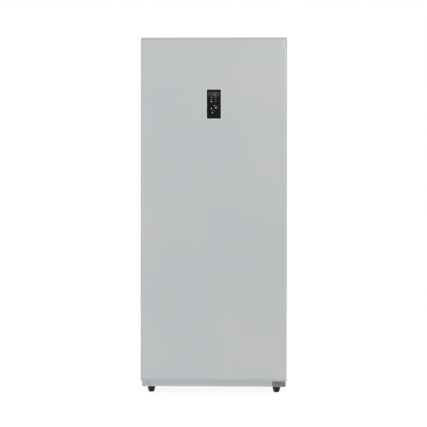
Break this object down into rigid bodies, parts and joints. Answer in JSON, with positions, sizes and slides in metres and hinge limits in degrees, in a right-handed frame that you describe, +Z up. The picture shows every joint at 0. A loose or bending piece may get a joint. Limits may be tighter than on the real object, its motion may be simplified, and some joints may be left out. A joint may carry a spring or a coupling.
{
  "type": "upright freezer",
  "caption": "Tall single-door upright freezer with a flat door, recessed side grip, display panel, shelves, door bins and a rear machine compartment.",
  "frame": {"origin": "on the floor, in the middle of the whole outline", "axes": "+X to the right seen from the front, +Y to the back, +Z up"},
  "size_m": [0.711, 0.72, 1.74],
  "materials": {
    "silver_paint": "satin silver paint on steel sheet",
    "grey_paint": "satin grey paint on steel sheet",
    "black_paint": "satin black paint on pressed steel",
    "galvanised": "zinc coated steel sheet",
    "zinc": "zinc plated steel",
    "stainless": "ground steel",
    "aluminium": "mill finish",
    "copper": "bare copper",
    "silver_plastic": "moulded silver grey plastic",
    "white_plastic": "formed white plastic",
    "clear_plastic": "frosted clear plastic",
    "black_plastic": "moulded black plastic",
    "insulation": "foamed in place",
    "grey_rubber": "soft extrusion",
    "shelf_glass": "clear tempered glass",
    "black_glass": "glossy black glass"
  },
  "bodies": {
    "root": {"cabinet_wrap": "silver_paint", "inner_liner": "white_plastic", "cabinet_foam": "insulation", "front_rail": "grey_paint", "base_pan": "galvanised", "back_panel": "grey_paint", "wall_spacer_left": "black_plastic", "wall_spacer_right": "black_plastic", "compressor_deck": "galvanised", "roller_axle_left": "zinc", "roller_axle_right": "zinc", "compressor": "black_paint", "relay_cover": "black_plastic", "condenser_fan_shroud": "black_plastic", "condenser_fan_motor": "zinc", "condenser_coil": "black_paint", "machine_cover": "grey_paint", "cord_gland": "black_plastic", "drain_pan": "black_plastic", "drain_tube": "white_plastic", "filter_drier": "copper", "suction_line": "copper", "evaporator_coil": "aluminium", "defrost_heater": "stainless", "evaporator_fan_motor": "zinc", "duct_cover": "white_plastic", "lamp_lens": "clear_plastic", "lower_basket": "clear_plastic", "top_hinge_bracket": "zinc", "top_hinge_pin": "stainless", "top_hinge_cover": "silver_plastic", "bottom_hinge_bracket": "zinc", "bottom_hinge_pin": "stainless", "shelf_trim_1": "white_plastic", "shelf_glass_1": "shelf_glass", "shelf_trim_2": "white_plastic", "shelf_glass_2": "shelf_glass", "shelf_trim_3": "white_plastic", "shelf_glass_3": "shelf_glass", "shelf_trim_4": "white_plastic", "shelf_glass_4": "shelf_glass"},
    "door": {"door_skin": "silver_paint", "door_top_cap": "silver_plastic", "door_bottom_cap": "silver_plastic", "door_liner": "white_plastic", "door_foam": "insulation", "door_gasket": "grey_rubber", "handle_pocket": "silver_plastic", "display_housing": "black_plastic", "display_glass": "black_glass", "door_bin_1": "clear_plastic", "door_bin_2": "clear_plastic", "door_bin_3": "clear_plastic", "door_bin_4": "clear_plastic"},
    "evaporator_fan": {"evaporator_fan": "white_plastic"},
    "condenser_fan": {"condenser_fan": "black_plastic"},
    "foot_left": {"foot_left": "black_plastic"},
    "foot_right": {"foot_right": "black_plastic"},
    "roller_left": {"roller_left": "black_plastic"},
    "roller_right": {"roller_right": "black_plastic"}
  },
  "joints": [
    {"name": "door_hinge", "type": "hinge", "parent": "root", "child": "door", "pos_m": [0.3355, -0.322, 0.9], "axis": [0, 0, 1], "range_deg": [0, 120]},
    {"name": "evaporator_fan_spin", "type": "hinge", "parent": "root", "child": "evaporator_fan", "pos_m": [0, 0.2305, 0.631], "axis": [0, 1, 0], "continuous": true},
    {"name": "condenser_fan_spin", "type": "hinge", "parent": "root", "child": "condenser_fan", "pos_m": [0.022, 0.2091, 0.128], "axis": [0, 1, 0], "continuous": true},
    {"name": "foot_left_turn", "type": "hinge", "parent": "root", "child": "foot_left", "pos_m": [-0.311, -0.25, 0.02], "axis": [0, 0, 1], "continuous": true},
    {"name": "foot_right_turn", "type": "hinge", "parent": "root", "child": "foot_right", "pos_m": [0.311, -0.25, 0.02], "axis": [0, 0, 1], "continuous": true},
    {"name": "roller_left_spin", "type": "hinge", "parent": "root", "child": "roller_left", "pos_m": [-0.2955, 0.3, 0.015], "axis": [1, 0, 0], "continuous": true},
    {"name": "roller_right_spin", "type": "hinge", "parent": "root", "child": "roller_right", "pos_m": [0.2955, 0.3, 0.015], "axis": [1, 0, 0], "continuous": true}
  ]
}
